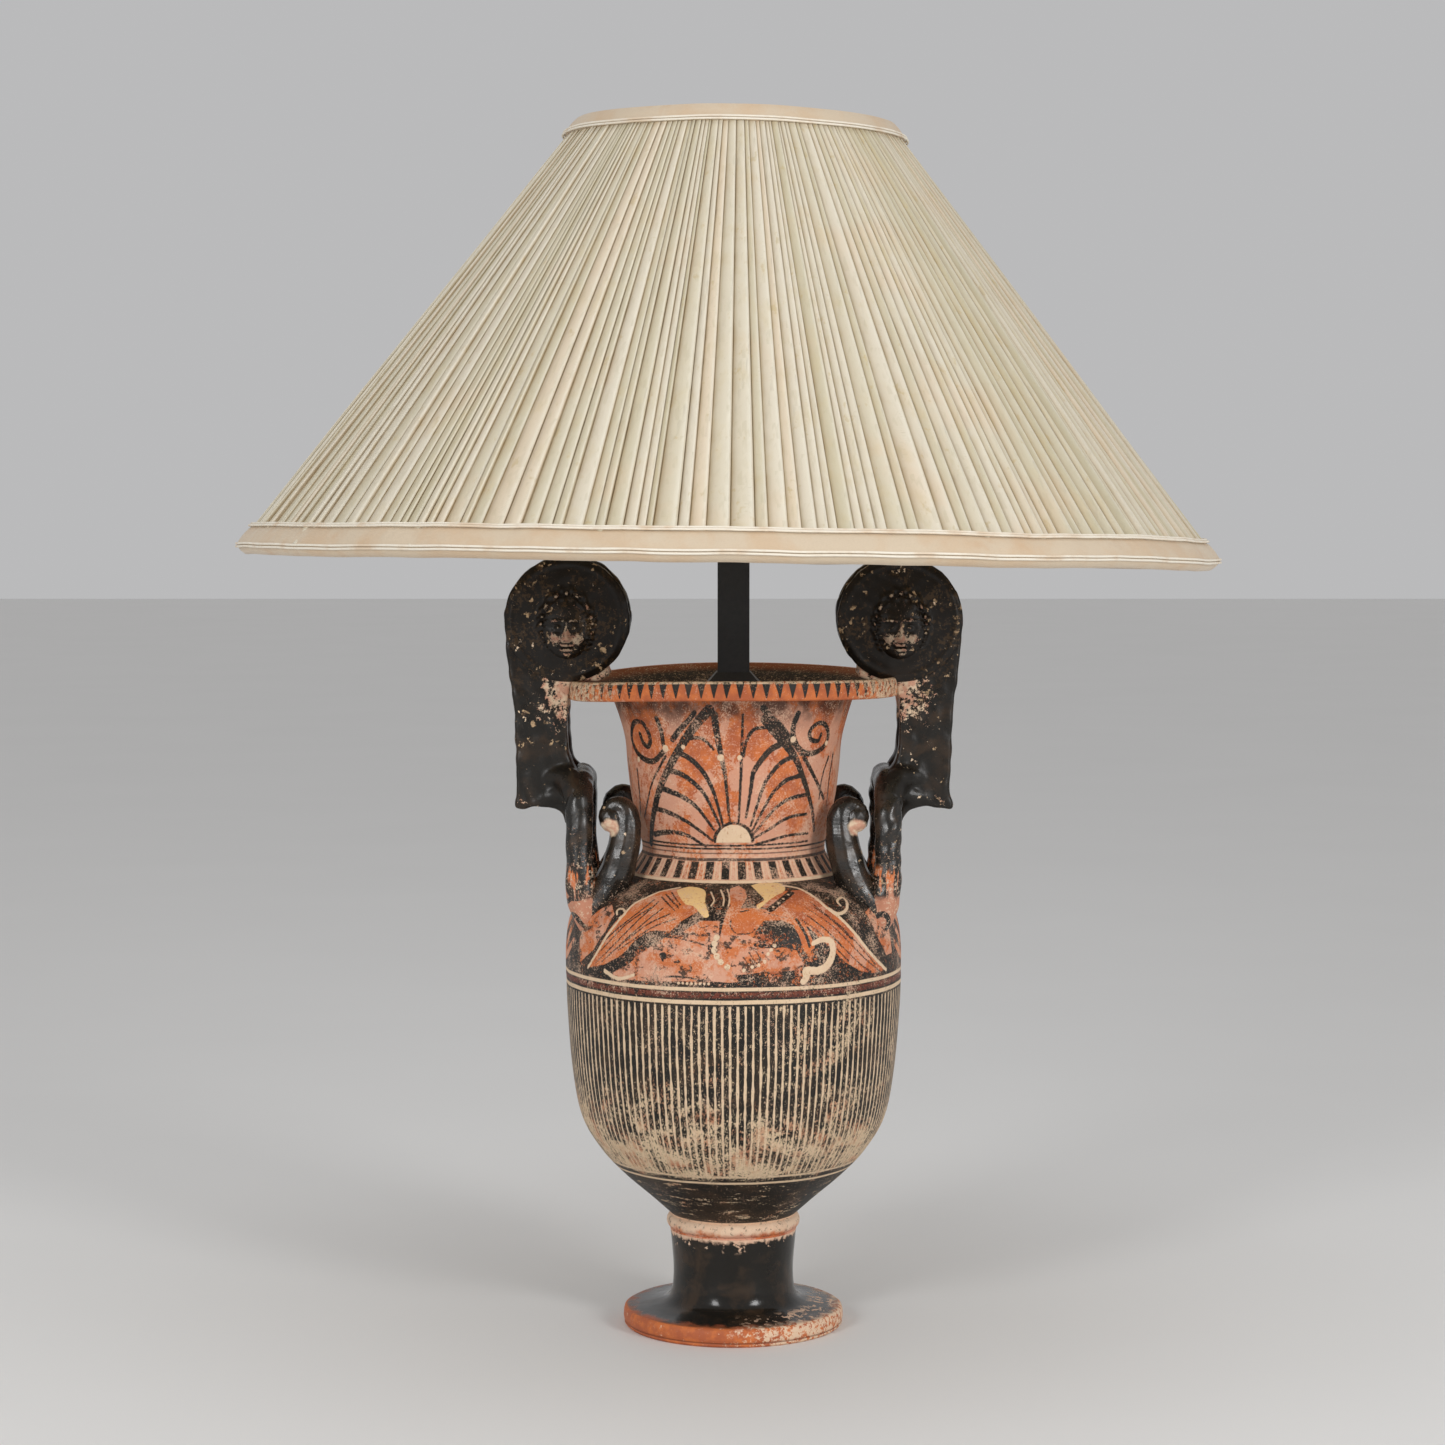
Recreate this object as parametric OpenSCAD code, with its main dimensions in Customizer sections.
// Amphora table lamp: a footed clay vase with scroll handles, fitted with a square stem,
// a switched lampholder and a wide pleated shade that tilts and lifts off its carrier.
// The origin is the centre of the foot's underside. +Z is up, and the handles lie along X.

/* [Vase] */
// Largest radius of the vase body
body_r = 105.8; // [95:0.1:118]
// Radius of the foot disc
foot_r = 69.8; // [60:0.1:80]
// Radius of the foot's narrow stem
foot_stem_r = 38; // [34:0.1:42]
// Height of the foot, up to the clay ring above it
foot_h = 61; // [50:0.5:70]
// Height of the clay ring between foot and body
collar_h = 11; // [8:0.5:14]
// Height of the lower body, from the clay ring to the painted double line
bowl_h = 153; // [130:1:175]
// Height of the shoulder
shoulder_h = 64; // [55:1:75]
// Height of the neck, up to the lip's underside
neck_h = 113.5; // [100:0.5:125]
// Height of the lip band
lip_h = 12; // [9:0.5:15]
// Smallest outer radius of the neck
neck_r = 57.5; // [52:0.1:62]
// Outer radius of the lip
lip_r = 104.6; // [98:0.1:108]
// Thickness of the clay wall
wall = 5.5; // [4.5:0.1:7]

/* [Handles] */
// Distance from the vase axis to the centre of a scroll
scroll_x = 103.8; // [101:0.1:107]
// Radius of a scroll's disc
scroll_r = 39; // [35:0.1:42]
// Width of a handle strap, front to back
strap_w = 46; // [40:1:54]
// Depth of a handle strap's side plates, left to right
strap_d = 33; // [30:0.5:36]
// Radius of a handle loop's clay roll
loop_r = 8.6; // [7:0.1:10]
// Half the distance between a loop's two legs
leg_y = 42; // [38:0.5:46]
// Radius of a swan's neck at its base
swan_r = 10.8; // [8:0.1:11]

/* [Lamp fittings] */
// Width of the square stem
stem_w = 20; // [16:0.5:22]
// Height at which the square stem ends
stem_top = 512; // [500:1:520]
// Radius of the lampholder's skirt
holder_r = 19.5; // [18.5:0.1:20.5]
// Radius of the cable that the stem's grommet takes
cable_r = 3.5; // [2.5:0.1:4]
// How far the switch bar travels
switch_travel = 4; // [2:0.5:5]
// Radius of the bulb's globe
bulb_r = 30; // [22:0.5:32]

/* [Shade] */
// Outer radius of the pleated cover at its lower hem line
cover_low_r = 303.5; // [280:0.5:320]
// Outer radius of the pleated cover at its top
cover_top_r = 99.5; // [90:0.5:115]
// Height of the shade's lower edge above the table
shade_low_z = 486; // [480:1:500]
// Height of the shade itself
shade_h = 271; // [250:1:290]
// Thickness of the pleated cover
cover_t = 2.2; // [1.5:0.1:3]
// Height of the pivot on which the shade tilts
pivot_z = 684; // [676:1:692]
// Degrees by which the shade leans back at rest
lean_back = 1.5; // [0:0.1:3]
// Degrees by which the shade and its ring lean towards +X at rest
lean_side = 1.0; // [0:0.1:1.2]
// Number of wire struts in the shade frame
strut_count = 8; // [6:2:12]

/* [Hidden] */
$fn = 96;

gap = 0.3;              // running clearance between moving pieces
collar_z = foot_h;
bowl_z = collar_z + collar_h;
shoulder_z = bowl_z + bowl_h;
neck_z = shoulder_z + shoulder_h;
lip_z = neck_z + neck_h;
lip_top = lip_z + lip_h;
steps = 6;              // chords in each stretch of a turned curve

clay_black = [0.10, 0.09, 0.085];
clay_red = [0.72, 0.42, 0.26];
clay_pale = [0.80, 0.68, 0.56];
brass = [0.75, 0.60, 0.32];
iron_black = [0.07, 0.07, 0.07];
silk = [0.86, 0.81, 0.68];

// ---- curves -------------------------------------------------------------------------

// A smooth curve through every listed point, with n chords to each stretch.
function through(p, n = steps) = [
    for (i = [0 : len(p) - 2], k = [0 : n - 1]) span(p, i, k / n),
    p[len(p) - 1]
];
function span(p, i, t) =
    let (a = p[max(i - 1, 0)], b = p[i], c = p[i + 1], d = p[min(i + 2, len(p) - 1)])
    0.5 * (2 * b + (c - a) * t + (2 * a - 5 * b + 4 * c - d) * t * t
        + (3 * b - a - 3 * c + d) * t * t * t);

// The same line moved sideways by d, to the left of its direction.
function beside(p, d) = [
    for (i = [0 : len(p) - 1])
        let (u = p[min(i + 1, len(p) - 1)] - p[max(i - 1, 0)], m = norm(u))
        p[i] + d * [-u[1], u[0]] / m
];
function reversed(p) = [for (i = [len(p) - 1 : -1 : 0]) p[i]];

// Fractions of a width and a height, as points above z.
function scaled(shape, r, h, z) = [for (s = shape) [s[0] * r, z + s[1] * h]];

// A round bar of changing radius along points that lie in a plane of constant y.
module bar(path, radii, sides = 12) {
    n = len(path);
    rings = [
        for (i = [0 : n - 1])
            let (u = path[min(i + 1, n - 1)] - path[max(i - 1, 0)],
                side = [u[2], 0, -u[0]] / norm(u))
            for (k = [0 : sides - 1])
                path[i] + radii[i] * (cos(360 * k / sides) * side
                    + sin(360 * k / sides) * [0, 1, 0])
    ];
    polyhedron(
        points = rings,
        faces = concat(
            [[for (k = [0 : sides - 1]) k]],
            [for (i = [0 : n - 2], k = [0 : sides - 1])
                let (a = i * sides + k, b = i * sides + (k + 1) % sides)
                [a, a + sides, b + sides, b]],
            [[for (k = [sides - 1 : -1 : 0]) (n - 1) * sides + k]]
        )
    );
}

module turned(outline) rotate_extrude() polygon(outline);

// ---- vase ---------------------------------------------------------------------------

// Each shape is a list of fractions: of the part's radius, and of its height.
bowl_shape = [[0.380, 0], [0.500, 0.075], [0.667, 0.176], [0.800, 0.277], [0.910, 0.411],
    [0.964, 0.605], [0.992, 0.850], [1, 1]];
shoulder_shape = [[1, 0], [0.999, 0.30], [0.975, 0.56], [0.905, 0.76], [0.790, 0.895],
    [0.628, 1]];
neck_shape = [[1.155, 0], [1.035, 0.09], [1, 0.14], [1.035, 0.24], [1.115, 0.42],
    [1.160, 0.60], [1.185, 0.74], [1.245, 0.87], [1.32, 1]];

bowl_line = through(scaled(bowl_shape, body_r, bowl_h, bowl_z));
shoulder_line = through(scaled(shoulder_shape, body_r, shoulder_h, shoulder_z));
neck_line = through(scaled(neck_shape, neck_r, neck_h, neck_z));
foot_edge = 11.8;       // height of the foot disc's edge
foot_line = concat(
    [[foot_r - 1.8, 0], [foot_r - 0.4, 1.4], [foot_r, 4], [foot_r - 0.3, 8.6],
        [foot_r - 2.4, foot_edge]],
    through([[foot_r - 6, foot_edge + 0.2], [foot_r - 17, 13.2], [foot_stem_r + 5, 16],
        [foot_stem_r + 1.2, 22], [foot_stem_r, 34], [foot_stem_r + 0.8, 48],
        [foot_stem_r + 2, foot_h]])
);

module foot() color(clay_black)
    turned(concat(foot_line, [[0, foot_h], [0, foot_h - 7]],
        reversed([[foot_r - 9, 0], [foot_r - 11, 4], [foot_stem_r + 6, 7.5],
            [foot_stem_r - 5, 14], [foot_stem_r - 7, 26], [foot_stem_r - 7, foot_h - 7]])));

module foot_collar() color(clay_pale) {
    ring_r = foot_stem_r + 4.2;
    turned(concat([[foot_stem_r - 12, collar_z], [foot_stem_r + 2, collar_z]],
        [for (a = [-60 : 15 : 60])
            [ring_r - 3.6 + 3.6 * cos(a), collar_z + collar_h / 2 + 4.4 * sin(a)]],
        [[foot_stem_r + 2.2, bowl_z], [foot_stem_r - 12, bowl_z]]));
}

floor_z = bowl_z + wall + 2;     // the flat floor inside, and its radius
floor_r = 26;

module bowl() color(clay_black) {
    inside = [for (p = beside(bowl_line, wall)) if (p[1] > bowl_z + wall + 2) p];
    turned(concat([[0, bowl_z]], bowl_line, [[body_r - wall, shoulder_z]],
        reversed([for (p = inside) if (p[1] < shoulder_z - 1) p]),
        [[floor_r, floor_z], [0, floor_z]]));
}

module shoulder() color(clay_red) {
    inside = [for (p = beside(shoulder_line, wall)) if (p[1] > shoulder_z + 1) p];
    turned(concat(shoulder_line, [[neck_r * 1.155 - wall, neck_z]],
        reversed([for (p = inside) if (p[1] < neck_z - 5) p]),
        [[body_r - wall, shoulder_z]]));
}

// The neck's inner wall, which the lip carries on upwards.
neck_inside = [for (p = beside(neck_line, wall)) if (p[1] > neck_z + 2 && p[1] < lip_z - 1) p];
mouth_r = neck_r * 1.32 - wall;

module neck() color(clay_red)
    turned(concat(neck_line, [[mouth_r, lip_z]], reversed(neck_inside),
        [[neck_r * 1.155 - wall, neck_z]]));

lip_outline = concat([[mouth_r, lip_z]], [[lip_r - 1.6, lip_z], [lip_r - 0.3, lip_z + 1.2]],
    [[lip_r, lip_z + 5], [lip_r - 0.4, lip_top - 1.4], [lip_r - 1.8, lip_top]],
    through([[lip_r - 5, lip_top - 0.4], [lip_r - 15, lip_z + 8], [lip_r - 26, lip_z + 4.5],
        [mouth_r, lip_z + 1.5]], 4));

module lip() color(clay_red) turned(lip_outline);

// ---- handles, drawn on the left at negative x ---------------------------------------

loop_x = -(body_r - 10.3);      // a loop's legs stand on the shoulder
bend_r = 24;
crown_z = lip_z - 53.5;
scroll_z = lip_top + 34.6;

// The solid clay below the vase's outer surface, from which the handles are cut.
module vase_mass() {
    turned(concat([[0, shoulder_z]], shoulder_line, neck_line, [[0, lip_z]]));
    turned(concat([[0, lip_z]], lip_outline, [[0, lip_z + 1.5]]));
}

module loop_leg() {
    translate([loop_x, -leg_y, shoulder_z + 26])
        cylinder(h = crown_z - bend_r - shoulder_z - 26, r = loop_r);
    translate([loop_x, -leg_y + bend_r, crown_z - bend_r])
        rotate([90, 0, 90]) rotate([0, 0, 90]) rotate_extrude(angle = 90)
            translate([bend_r, 0]) circle(r = loop_r);
    translate([loop_x, -leg_y + bend_r, crown_z]) rotate([-90, 0, 0])
        cylinder(h = leg_y - bend_r, r = loop_r);
}

module handle_loop() color(clay_black) difference() {
    union() {
        loop_leg();
        mirror([0, 1, 0]) loop_leg();
    }
    vase_mass();
}

strap_out = scroll_x + strap_d - 0.8;
strap_in = scroll_x - 0.9;
spur_z = crown_z - 14.5;
plate_t = 8;

// One side plate of the strap, as it shows from the front.
module side_plate(thick) translate([0, thick / 2, 0]) rotate([90, 0, 0])
    linear_extrude(thick) union() {
        polygon([[-strap_in, crown_z + 8], [loop_x + 8, crown_z - 2], [loop_x + 6, spur_z + 3],
            [-strap_in - 4, spur_z], [-strap_out + 4, spur_z - 1.5],
            [-strap_out - 0.8, spur_z], [-strap_out, spur_z + 7], [-strap_out, spur_z + 36],
            [-strap_out - 2.4, lip_z + 4], [-scroll_x - scroll_r + 0.4, scroll_z - 6],
            [-scroll_x, scroll_z], [-strap_in, lip_top]]);
        translate([-scroll_x, scroll_z]) circle(r = scroll_r);
        translate([-scroll_x + 12, lip_top - 4]) square([16, 14]);
    }

// The web between the side plates: a lower strap and the scroll's drum.
module strap_web() {
    translate([-strap_out + 9, -strap_w / 2 + plate_t, spur_z + 5])
        cube([strap_d - 18, strap_w - 2 * plate_t, scroll_z - spur_z - 24]);
    translate([-scroll_x, strap_w / 2 - plate_t, scroll_z]) rotate([90, 0, 0])
        cylinder(h = strap_w - 2 * plate_t, r = scroll_r - 4);
}

module handle_strap() color(clay_black) difference() {
    union() {
        for (side = [-1, 1]) translate([0, side * (strap_w - plate_t) / 2, 0])
            side_plate(plate_t);
        strap_web();
    }
    vase_mass();
    translate([loop_x, -leg_y, crown_z]) rotate([-90, 0, 0])
        cylinder(h = 2 * leg_y, r = loop_r);
    for (side = [-1, 1]) translate([loop_x, side * (leg_y - bend_r), crown_z - bend_r])
        rotate([0, 90, 0]) rotate_extrude() translate([bend_r, 0]) circle(r = loop_r);
}

mask_t = 4;
face_r = 17;
module mask() color(clay_black) difference() {
    translate([-scroll_x, -strap_w / 2, scroll_z]) rotate([90, 0, 0]) {
        rotate_extrude() polygon(concat([[0, 0], [scroll_r - 0.6, 0], [scroll_r, 1],
            [scroll_r - 0.5, mask_t - 1.2], [scroll_r - 3, mask_t - 0.2]],
            through([[scroll_r - 8, mask_t - 1.2], [scroll_r - 16, mask_t - 1.4],
                [0, mask_t - 1]], 3)));
        intersection() {
            translate([0, -6, mask_t - 12]) sphere(r = face_r + 3);
            translate([-face_r, -6 - face_r, mask_t - 1.6])
                cube([2 * face_r, 2 * face_r, 12]);
        }
    }
    vase_mass();
}

swan_y = -leg_y + 1;
swan_line = through([[-87, swan_y, neck_z - 22], [-77.5, swan_y, neck_z - 7],
    [-71.5, swan_y, neck_z + 6], [-68.5, swan_y, neck_z + 18], [-66.5, swan_y, neck_z + 29],
    [-66, swan_y, neck_z + 38]], 3);

// A swan's neck tapers upwards and bends over into a ball-shaped head.
module swan() color(clay_black) difference() {
    last = len(swan_line) - 1;
    union() {
        bar(swan_line, [for (i = [0 : last]) swan_r * (1 - 0.24 * pow(i / last, 2))]);
        translate([-68.2, swan_y, neck_z + 42.8]) sphere(r = 0.82 * swan_r, $fn = 32);
        translate([-74, swan_y, neck_z + 40]) sphere(r = 0.82 * swan_r, $fn = 32);
    }
    vase_mass();
    loop_leg();
}

module left_to_right() mirror([1, 0, 0]) children();
module front_to_back() mirror([0, 1, 0]) children();

// ---- fittings inside the vase -------------------------------------------------------

rod_r = 5;
cover_t1 = 6;
cover_z = lip_z - 8;            // underside of the cover plate in the neck
bung_z = cover_z - 20;
stem_z = cover_z + cover_t1;
pad_z = floor_z;

// The neck's inner radius at height z.
function throat(z) = lookup(z, [for (p = neck_inside) [p[1], p[0]]]);

module rod_hole(z, h) translate([0, 0, z - 1]) cylinder(h = h + 2, r = rod_r + 0.05);

module neck_cover() color(iron_black) difference() {
    translate([0, 0, cover_z]) cylinder(h = cover_t1, r = throat(cover_z) - 1);
    rod_hole(cover_z, cover_t1);
}

module neck_bung() color([0.55, 0.42, 0.28]) difference() {
    translate([0, 0, bung_z])
        cylinder(h = 20, r1 = throat(bung_z) - 1.2, r2 = throat(cover_z) - 1.2);
    rod_hole(bung_z, 20);
}

module clamp_plate() color(iron_black) difference() {
    translate([0, 0, bung_z - 4]) cylinder(h = 4, r = neck_r - 6);
    rod_hole(bung_z - 4, 4);
}

module nut(z, across, h) difference() {
    translate([0, 0, z]) cylinder(h = h, r = across / 2 / cos(30), $fn = 6);
    rod_hole(z, h);
}

module clamp_nut() color(brass) nut(bung_z - 10, 17, 6);

module support_rod() color(brass)
    translate([0, 0, pad_z + 4]) cylinder(h = stem_z + 8 - pad_z - 4, r = rod_r);

module rod_nut() color(brass) nut(stem_z, 13, 5);

module rod_pad() color(iron_black) difference() {
    translate([0, 0, pad_z]) cylinder(h = 12, r1 = 24, r2 = 18);
    translate([0, 0, pad_z + 4]) cylinder(h = 10, r = rod_r + 0.05);
}

// ---- stem ---------------------------------------------------------------------------

flange_w = stem_w + 24;
flange_h = 15;
flange_edge = 2;
grommet_z = lip_top + 20;
tube_t = 1.5;
grommet_r = cable_r + 2.2;
nipple_r = 3.3;

module square_bar(w, z, h) translate([-w / 2, -w / 2, z]) cube([w, w, h]);

module stem() color(iron_black) difference() {
    square_bar(stem_w, stem_z, stem_top - stem_z);
    square_bar(stem_w - 2 * tube_t, stem_z - 1, stem_top - stem_z + 2);
    translate([0, 0, grommet_z]) rotate([-90, 0, 0]) cylinder(h = stem_w, r = grommet_r);
}

// The sloping square flange at the stem's foot.
module stem_collar() color(iron_black) difference() {
    slope_in = (flange_w - stem_w) / 2 - 0.5;
    square_bar(flange_w, stem_z, flange_h);
    for (a = [0 : 90 : 270]) rotate([0, 0, a])
        translate([flange_w / 2, -flange_w, stem_z + flange_edge])
            rotate([0, -atan2(slope_in, flange_h - flange_edge), 0])
                cube([flange_w, 2 * flange_w, 3 * flange_h]);
    square_bar(stem_w + 0.2, stem_z - 1, flange_h + 2);
}

module stem_cap() color(iron_black) difference() {
    union() {
        square_bar(stem_w + 6, stem_top, 2.2);
        square_bar(stem_w + 2, stem_top + 2.2, 1);
    }
    rod_hole(stem_top, 4);
}

// The hollow screw that joins the stem to the lampholder and lets the wires through.
module nipple() color(brass) difference() {
    translate([0, 0, stem_top - 10]) cylinder(h = 24, r = rod_r);
    translate([0, 0, stem_top - 11]) cylinder(h = 26, r = nipple_r);
}

module lock_nut() color(brass) nut(stem_top + 3.2, 14, 3.3);

// A flanged ring that lines the cable hole in the back of the stem.
module cord_grommet() color(iron_black)
    translate([0, stem_w / 2 - tube_t, grommet_z]) rotate([-90, 0, 0]) difference() {
        union() {
            cylinder(h = tube_t, r = grommet_r);
            translate([0, 0, tube_t]) cylinder(h = 2.5, r = grommet_r + 2);
        }
        translate([0, 0, -1]) cylinder(h = 8, r = cable_r);
    }

// ---- lampholder ---------------------------------------------------------------------

holder_z = stem_top + 6.5;
skirt_z = holder_z + 18;
skirt_h = 36;
sheet_t = 1.2;
bar_z = holder_z + 11;
bar_r = 3;
seat_z = skirt_z + 17;          // the shoulder on which the shade carrier sits
insert_r = 11.4;
bayonet_r = 11;                 // the bulb's bayonet cap
twist = 20;                     // turn that frees the bulb's pins, degrees
cap_z = skirt_z + 9.6;
pin_z = cap_z + 9;
catch_r = 1.2;                  // radius of a bayonet pin

module holder_cap() color(brass) difference() {
    turned([[rod_r + 0.05, holder_z], [9, holder_z], [11, holder_z + 2], [17, holder_z + 5],
        [holder_r + 0.5, holder_z + 10], [holder_r + 0.5, skirt_z],
        [holder_r - sheet_t, skirt_z], [holder_r - sheet_t, holder_z + 10.5],
        [16, holder_z + 6.4], [10.4, holder_z + 3.4], [rod_r + 0.05, holder_z + 3.4]]);
    translate([-holder_r - 3, 0, bar_z]) rotate([0, 90, 0])
        cylinder(h = 2 * holder_r + 6, r = bar_r + 0.15);
}

module holder_skirt() color(brass)
    turned([[insert_r + 0.4, skirt_z], [holder_r, skirt_z], [holder_r, seat_z - 2],
        [holder_r + 3, seat_z - 2], [holder_r + 3, seat_z], [holder_r, seat_z],
        [holder_r, skirt_z + skirt_h], [holder_r - sheet_t, skirt_z + skirt_h],
        [holder_r - sheet_t, skirt_z + 2], [insert_r + 0.4, skirt_z + 2]]);

// A bayonet slot: an upright channel down from the rim, then a level one to the pin's seat.
module bayonet_slot() {
    half = catch_r + 0.4;
    rotate([0, 0, twist]) translate([insert_r - 1, -half, pin_z - half])
        cube([3.2, 2 * half, skirt_h]);
    rotate([0, 0, -8]) rotate_extrude(angle = twist + 12)
        translate([insert_r - 1, pin_z - half]) square([2.8, 2 * half]);
}

module holder_insert() color([0.88, 0.87, 0.83]) difference() {
    turned([[0, skirt_z + 2], [holder_r - sheet_t, skirt_z + 2],
        [holder_r - sheet_t, skirt_z + skirt_h - 6], [insert_r, skirt_z + skirt_h - 6],
        [insert_r, skirt_z + 9], [0, skirt_z + 9]]);
    for (side = [0, 180]) rotate([0, 0, side]) bayonet_slot();
}

// A round bar through the holder, with a domed button at each end.
module switch_bar() color(clay_black)
    translate([-(holder_r + 4) - switch_travel, 0, bar_z]) rotate([0, 90, 0])
        cylinder(h = 2 * (holder_r + 4) + switch_travel, r = bar_r);

module shade_ring() color(brass) difference() {
    translate([0, 0, seat_z + 1.5 + gap]) cylinder(h = 7, r = holder_r + 5, $fn = 96);
    translate([0, 0, seat_z]) cylinder(h = 12, r = holder_r + gap);
    for (a = [0 : 15 : 345]) rotate([0, 0, a]) translate([holder_r + 5.6, 0, seat_z])
        cylinder(h = 12, r = 1.1, $fn = 24);
}

carrier_r = 48;
carrier_wire = 1.7;
rim_wire = 2.1;
ring_half = 5;                  // half the height of the gimbal ring
carrier_top = pivot_z - ring_half - rim_wire - gap - 0.9;
arm_line = through([[holder_r + 6, 0, seat_z + 0.9], [36, 0, seat_z + 4], [45, 0, seat_z + 22],
    [47.5, 0, seat_z + 60], [carrier_r, 0, carrier_top]], 4);

module carrier_arms() for (a = [45 : 90 : 315]) rotate([0, 0, a])
    bar(arm_line, [for (p = arm_line) carrier_wire], 8);

module shade_carrier() color(brass) {
    difference() {
        translate([0, 0, seat_z]) cylinder(h = 1.5, r = holder_r + 8);
        translate([0, 0, seat_z - 1]) cylinder(h = 4, r = holder_r + 0.2);
    }
    translate([0, 0, carrier_top]) rotate_extrude()
        translate([carrier_r, 0]) circle(r = rim_wire, $fn = 24);
    carrier_arms();
}

// ---- bulb ---------------------------------------------------------------------------

cap_top = cap_z + 27;
globe_z = cap_z + 76;

module bulb_cap() color([0.78, 0.77, 0.74]) {
    turned([[0, cap_z], [7, cap_z], [8, cap_z + 2], [bayonet_r, cap_z + 3.5],
        [bayonet_r, cap_top - 4], [bayonet_r + 1, cap_top - 2], [bayonet_r + 1.2, cap_top],
        [0, cap_top]]);
    for (side = [0, 180]) rotate([0, 90, side]) translate([-pin_z, 0, bayonet_r - 1])
        cylinder(h = 2.6, r = catch_r, $fn = 24);
}

// The globe runs from the cap's rim through a neck into a ball.
module bulb_globe() color([0.95, 0.94, 0.90])
    turned(concat(through([[bayonet_r + 1, cap_top], [15, cap_top + 8],
            [24, cap_top + 24], [bulb_r - 1.2, cap_top + 38]], 4),
        [for (a = [-14 : 13 : 90]) [bulb_r * cos(a), globe_z + bulb_r * sin(a)]],
        [[0, cap_top]]));

// ---- shade --------------------------------------------------------------------------

cover_low_z = shade_low_z + 4;
cover_top_z = shade_low_z + shade_h - 3;
slope = (cover_low_r - cover_top_r) / (cover_top_z - cover_low_z);
lean = atan(slope);
// A point at height z that lies d inside the cover's outer surface.
function in_cone(z, d) = [cover_low_r - slope * (z - cover_low_z) - d / cos(lean), z];
strut_r = 1.4;
strut_in = cover_t + strut_r + 0.25;
lining_in = cover_t + 2 * strut_r + 0.5;
wire_r = 2;
pin_r = 1.5;
yoke_r = 60;

band_r = carrier_r + 5.6;       // outside of the gimbal ring
band_t = 1.6;
ledge_t = 1.6;

// Leans what stands on the carrier about the pivot, and then the shade back on its pins.
module askew() translate([0, 0, pivot_z]) rotate([0, lean_side, 0])
    translate([0, 0, -pivot_z]) children();
module leaning() askew() translate([0, 0, pivot_z]) rotate([-lean_back, 0, 0])
    translate([0, 0, -pivot_z]) children();

// The ring that sits on the carrier. The shade's pivot pins turn in its band.
module gimbal_ring() color(brass) difference() {
    translate([0, 0, pivot_z - ring_half]) difference() {
        cylinder(h = 2 * ring_half, r = band_r);
        translate([0, 0, ledge_t]) cylinder(h = 2 * ring_half, r = band_r - band_t);
        translate([0, 0, -1]) cylinder(h = 4, r = carrier_r - 5);
    }
    translate([-band_r - 1, 0, pivot_z]) rotate([0, 90, 0])
        cylinder(h = 2 * band_r + 2, r = pin_r + gap);
}

top_wire_z = cover_top_z - 4;
low_wire_z = cover_low_z + 3;
top_wire_r = in_cone(top_wire_z, strut_in + 1)[0];
arm_foot = [yoke_r, 0, pivot_z];
arm_reach = [top_wire_r - wire_r - strut_r, 0, top_wire_z] - arm_foot;

// A pivot pin, with its head inside the gimbal ring.
module pivot_pin() translate([0, 0, pivot_z]) rotate([0, 90, 0]) {
    translate([0, 0, band_r - band_t - 1.2 - gap]) cylinder(h = 1.2, r = 2.6, $fn = 24);
    translate([0, 0, band_r - band_t - 1]) cylinder(h = yoke_r - band_r + band_t + 1, r = pin_r);
}

module arms(r) for (a = [45 : 90 : 315]) rotate([0, 0, a]) translate(arm_foot)
    rotate([0, atan2(arm_reach[0], arm_reach[2]), 0])
        cylinder(h = norm(arm_reach), r = r, $fn = 24);

// The shade's inner hoop, its two pivot pins and the arms that rise to the top wire.
module gimbal_arms() color(brass) {
    translate([0, 0, pivot_z]) rotate_extrude() translate([yoke_r, 0])
        circle(r = wire_r, $fn = 24);
    for (side = [0, 180]) rotate([0, 0, side]) pivot_pin();
    arms(strut_r);
}

module wire_hoop(r, z) color(brass) translate([0, 0, z]) rotate_extrude()
    translate([r, 0]) circle(r = wire_r, $fn = 24);

module shade_top_wire() wire_hoop(top_wire_r, top_wire_z);
module shade_bottom_wire() wire_hoop(in_cone(low_wire_z, strut_in + 1)[0], low_wire_z);

module shade_struts() color(brass) {
    low = in_cone(low_wire_z + 1.8, strut_in);
    high = in_cone(top_wire_z - 1.8, strut_in);
    for (k = [0 : strut_count - 1]) rotate([0, 0, 360 * (k + 0.5) / strut_count])
        translate([low[0], 0, low[1]]) rotate([0, -lean, 0])
            cylinder(h = norm(high - low), r = strut_r, $fn = 24);
}

// A cone-shaped skin between two depths below the cover's surface.
module skin(outer, inner, low, high)
    turned([in_cone(low, outer), in_cone(high, outer), in_cone(high, inner),
        in_cone(low, inner)]);

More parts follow.
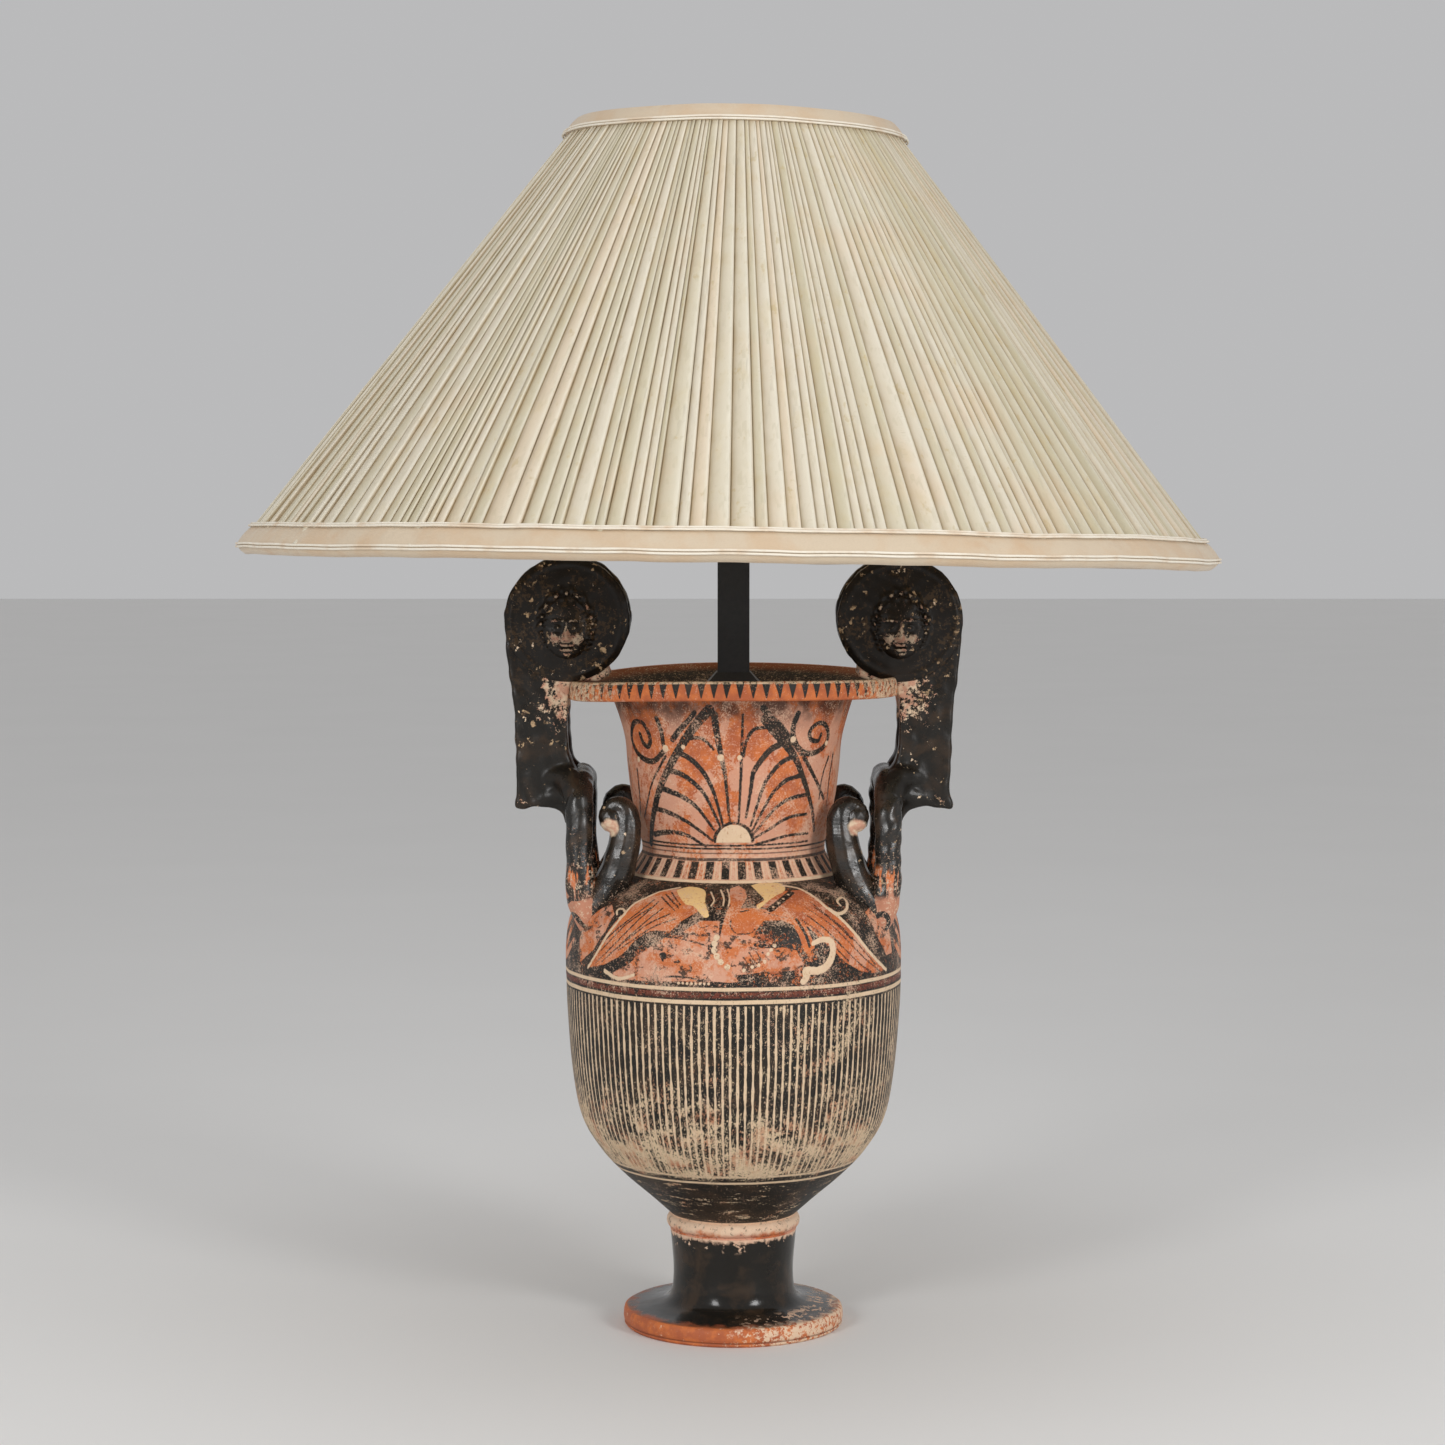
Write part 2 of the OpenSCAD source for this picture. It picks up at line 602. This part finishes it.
module shade_cover() color(silk) skin(0, cover_t, cover_low_z, cover_top_z);
module shade_lining() color([0.93, 0.90, 0.82])
    skin(lining_in + 0.3, lining_in + 0.9, cover_low_z + 6, cover_top_z - 7);

trim_t = 1.5;
// A folded binding: an outer band, a rounded edge beyond the cover and an inner band.
module binding(edge_z, fold_z, band_z) {
    inner = lining_in + 1.9;
    bend = edge_z + 0.25 * (fold_z - edge_z);
    turned([in_cone(band_z, 0), in_cone(band_z, -trim_t), in_cone(bend, -trim_t),
        in_cone(fold_z, 2.6), in_cone(fold_z, inner - 1), in_cone(bend, inner + trim_t),
        in_cone(band_z, inner + trim_t), in_cone(band_z, inner), in_cone(edge_z, inner),
        in_cone(edge_z, 0)]);
}
module top_trim() color(silk) difference() {
    binding(cover_top_z, shade_low_z + shade_h, cover_top_z - 7);
    arms(strut_r + 0.4);
}
module bottom_trim() color(silk)
    binding(cover_low_z, shade_low_z, cover_low_z + 10);

// ---- nodes --------------------------------------------------------------------------

foot();
foot_collar();
bowl();
shoulder();
neck();
lip();
handle_loop();  // handle_loop_left
left_to_right() handle_loop();  // handle_loop_right
handle_strap();  // handle_strap_left
left_to_right() handle_strap();  // handle_strap_right
mask();  // mask_front_left
front_to_back() mask();  // mask_back_left
left_to_right() mask();  // mask_front_right
left_to_right() front_to_back() mask();  // mask_back_right
swan();  // swan_front_left
front_to_back() swan();  // swan_back_left
left_to_right() swan();  // swan_front_right
left_to_right() front_to_back() swan();  // swan_back_right
neck_cover();
neck_bung();
clamp_plate();
clamp_nut();
support_rod();
rod_nut();
rod_pad();
stem();
stem_collar();
stem_cap();
nipple();
lock_nut();
cord_grommet();
holder_cap();
holder_skirt();
holder_insert();
switch_bar();
shade_ring();
shade_carrier();
bulb_cap();
bulb_globe();
askew() gimbal_ring();
leaning() gimbal_arms();
leaning() shade_top_wire();
leaning() shade_bottom_wire();
leaning() shade_struts();
leaning() shade_cover();
leaning() shade_lining();
leaning() top_trim();
leaning() bottom_trim();
